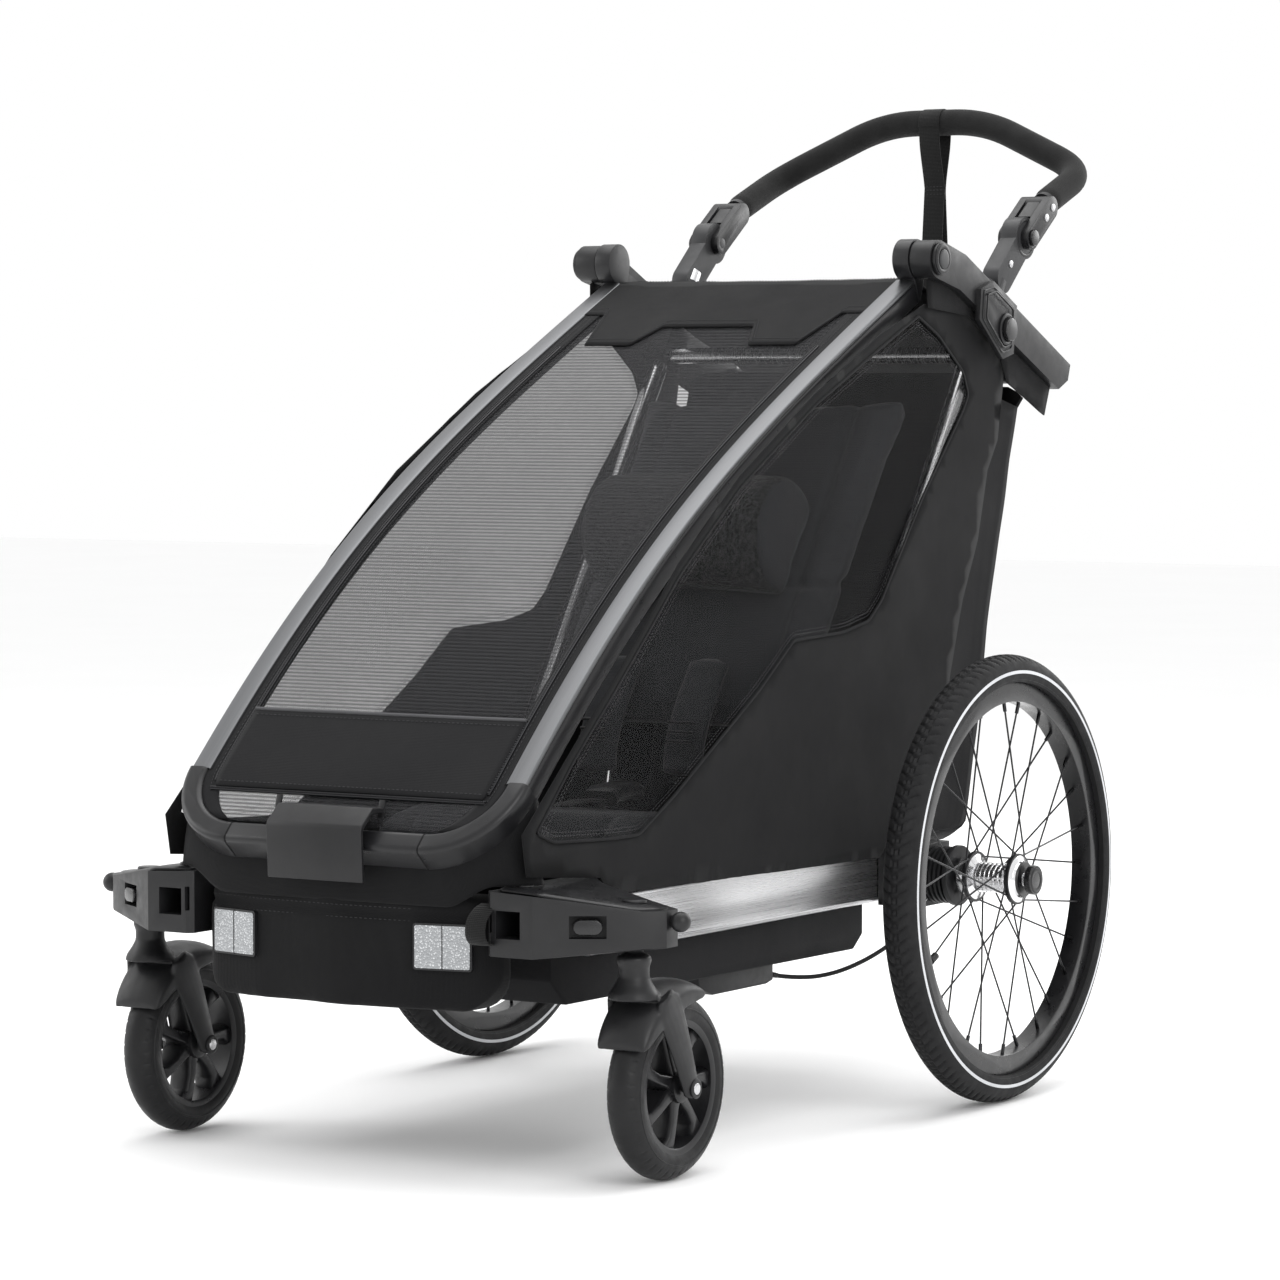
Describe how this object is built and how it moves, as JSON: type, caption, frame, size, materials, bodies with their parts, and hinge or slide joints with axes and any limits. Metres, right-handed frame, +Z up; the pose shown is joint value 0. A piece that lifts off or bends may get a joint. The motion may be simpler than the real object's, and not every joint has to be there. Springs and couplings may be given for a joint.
{
  "type": "child bicycle trailer",
  "caption": "Covered single-seat child trailer with spoked rear wheels, front swivel casters, arched frame, mesh front and a tilting push handle.",
  "frame": {"origin": "on the ground, under the middle of the whole trailer's box", "axes": "+Z up; the front faces -Y; +X is the trailer's own left side"},
  "size_m": [0.754, 1.289, 1.108],
  "materials": {
    "bar_aluminium": "brushed, clear anodised",
    "arch_aluminium": "satin grey face, black sides",
    "silver_tube": "satin anodised",
    "black_steel": "black powder coat",
    "axle_steel": "turned",
    "hub_aluminium": "polished",
    "rim_black": "black anodised",
    "spoke_steel": "black",
    "tyre_rubber": "block tread with reflective sidewall stripe",
    "caster_rubber": "smooth with small tread cuts",
    "black_plastic": "fine moulded texture",
    "grey_plastic": "satin",
    "button_plastic": "semi-gloss",
    "reflector": "faceted prism",
    "cable_rubber": "smooth jacket",
    "black_fabric": "coated plain weave with stitched seams",
    "seat_fabric": "padded plain weave",
    "webbing": "ribbed webbing",
    "mesh_fabric": "see-through mesh",
    "window_film": "tinted clear film",
    "foam": "closed-cell foam"
  },
  "bodies": {
    "root": {"side_bars": "bar_aluminium", "front_cross_tube": "black_steel", "rear_axle_tube": "black_steel", "axle_housings": "black_plastic", "wheel_axles": "axle_steel", "caster_arm_left": "black_plastic", "caster_arm_right": "black_plastic", "floor_tub": "black_plastic", "front_apron": "black_fabric", "seat_cushion": "seat_fabric", "reflectors": "reflector", "brake_cable": "cable_rubber", "cable_guide": "black_plastic", "side_panel_left": "black_fabric", "side_panel_right": "black_fabric", "side_windows": "window_film", "rear_bag": "black_fabric"},
    "brake_pedal": {"brake_pedal": "black_plastic"},
    "roof": {"arch_rails": "arch_aluminium", "arch_corners": "black_plastic", "front_crossbar": "black_plastic", "top_hinges": "black_plastic", "front_cover": "mesh_fabric", "latch_flap": "black_plastic"},
    "rear_frame": {"uprights": "silver_tube", "canopy_rails": "black_plastic", "rear_crossbar": "black_plastic", "upright_clamps": "black_plastic", "handle_joints": "grey_plastic", "roof_panel": "black_fabric", "backrest": "seat_fabric", "head_bolster": "seat_fabric", "harness": "webbing"},
    "handle": {"handle_bar": "black_steel", "foam_grip": "foam", "handle_clevises": "black_plastic", "wrist_strap": "webbing"},
    "handle_button_left": {"handle_button_left": "button_plastic"},
    "latch_knob_left": {"latch_knob_left": "button_plastic"},
    "arm_button_left": {"arm_button_left": "button_plastic"},
    "wheel_left": {"tyre_left": "tyre_rubber", "rim_left": "rim_black", "spokes_left": "spoke_steel", "hub_left": "hub_aluminium"},
    "hub_button_left": {"hub_button_left": "button_plastic"},
    "caster_left": {"caster_fork_left": "black_plastic"},
    "caster_wheel_left": {"caster_wheel_left": "caster_rubber"},
    "handle_button_right": {"handle_button_right": "button_plastic"},
    "latch_knob_right": {"latch_knob_right": "button_plastic"},
    "arm_button_right": {"arm_button_right": "button_plastic"},
    "wheel_right": {"tyre_right": "tyre_rubber", "rim_right": "rim_black", "spokes_right": "spoke_steel", "hub_right": "hub_aluminium"},
    "hub_button_right": {"hub_button_right": "button_plastic"},
    "caster_right": {"caster_fork_right": "black_plastic"},
    "caster_wheel_right": {"caster_wheel_right": "caster_rubber"}
  },
  "joints": [
    {"name": "roof_fold", "type": "hinge", "parent": "root", "child": "roof", "pos_m": [0, -0.545, 0.322], "axis": [1, 0, 0], "range_deg": [-23.5, 0], "deforming": ["side_panel_left", "side_panel_right", "side_windows", "rear_bag"]},
    {"name": "rear_fold", "type": "hinge", "parent": "roof", "child": "rear_frame", "pos_m": [0, 0.211, 0.915], "axis": [1, 0, 0], "range_deg": [-23.5, 0], "deforming": ["harness"]},
    {"name": "handle_tilt", "type": "hinge", "parent": "rear_frame", "child": "handle", "pos_m": [0, 0.445, 0.944], "axis": [1, 0, 0], "range_deg": [-35, 110]},
    {"name": "brake_pedal_press", "type": "hinge", "parent": "root", "child": "brake_pedal", "pos_m": [0, 0.192, 0.208], "axis": [1, 0, 0], "range_deg": [-20, 0]},
    {"name": "handle_button_press_left", "type": "slide", "parent": "handle", "child": "handle_button_left", "axis": [-1, 0, 0], "range_m": [0, 0.003], "stiffness_N_per_m": 400},
    {"name": "latch_knob_pull_left", "type": "slide", "parent": "rear_frame", "child": "latch_knob_left", "axis": [1, 0, 0], "range_m": [0, 0.006], "stiffness_N_per_m": 400},
    {"name": "arm_button_press_left", "type": "slide", "parent": "root", "child": "arm_button_left", "axis": [-0.5417, 0.8406, 0], "range_m": [0, 0.003], "stiffness_N_per_m": 400},
    {"name": "wheel_spin_left", "type": "hinge", "parent": "root", "child": "wheel_left", "pos_m": [0.334, 0.166, 0.243], "axis": [1, 0, 0], "continuous": true},
    {"name": "hub_button_press_left", "type": "slide", "parent": "root", "child": "hub_button_left", "axis": [-1, 0, 0], "range_m": [0, 0.003], "stiffness_N_per_m": 400},
    {"name": "caster_swivel_left", "type": "hinge", "parent": "root", "child": "caster_left", "pos_m": [0.295, -0.522, 0.25], "axis": [0, 0, 1], "continuous": true},
    {"name": "caster_spin_left", "type": "hinge", "parent": "caster_left", "child": "caster_wheel_left", "pos_m": [0.295, -0.463, 0.092], "axis": [1, 0, 0], "continuous": true},
    {"name": "handle_button_press_right", "type": "slide", "parent": "handle", "child": "handle_button_right", "axis": [1, 0, 0], "range_m": [0, 0.003], "stiffness_N_per_m": 400},
    {"name": "latch_knob_pull_right", "type": "slide", "parent": "rear_frame", "child": "latch_knob_right", "axis": [-1, 0, 0], "range_m": [0, 0.006], "stiffness_N_per_m": 400},
    {"name": "arm_button_press_right", "type": "slide", "parent": "root", "child": "arm_button_right", "axis": [0.5417, 0.8406, 0], "range_m": [0, 0.003], "stiffness_N_per_m": 400},
    {"name": "wheel_spin_right", "type": "hinge", "parent": "root", "child": "wheel_right", "pos_m": [-0.334, 0.166, 0.243], "axis": [1, 0, 0], "continuous": true},
    {"name": "hub_button_press_right", "type": "slide", "parent": "root", "child": "hub_button_right", "axis": [1, 0, 0], "range_m": [0, 0.003], "stiffness_N_per_m": 400},
    {"name": "caster_swivel_right", "type": "hinge", "parent": "root", "child": "caster_right", "pos_m": [-0.295, -0.522, 0.25], "axis": [0, 0, 1], "continuous": true},
    {"name": "caster_spin_right", "type": "hinge", "parent": "caster_right", "child": "caster_wheel_right", "pos_m": [-0.295, -0.463, 0.092], "axis": [1, 0, 0], "continuous": true}
  ],
  "couplings": [
    {"joint": "rear_fold", "follows": "roof_fold", "ratio": 1}
  ]
}
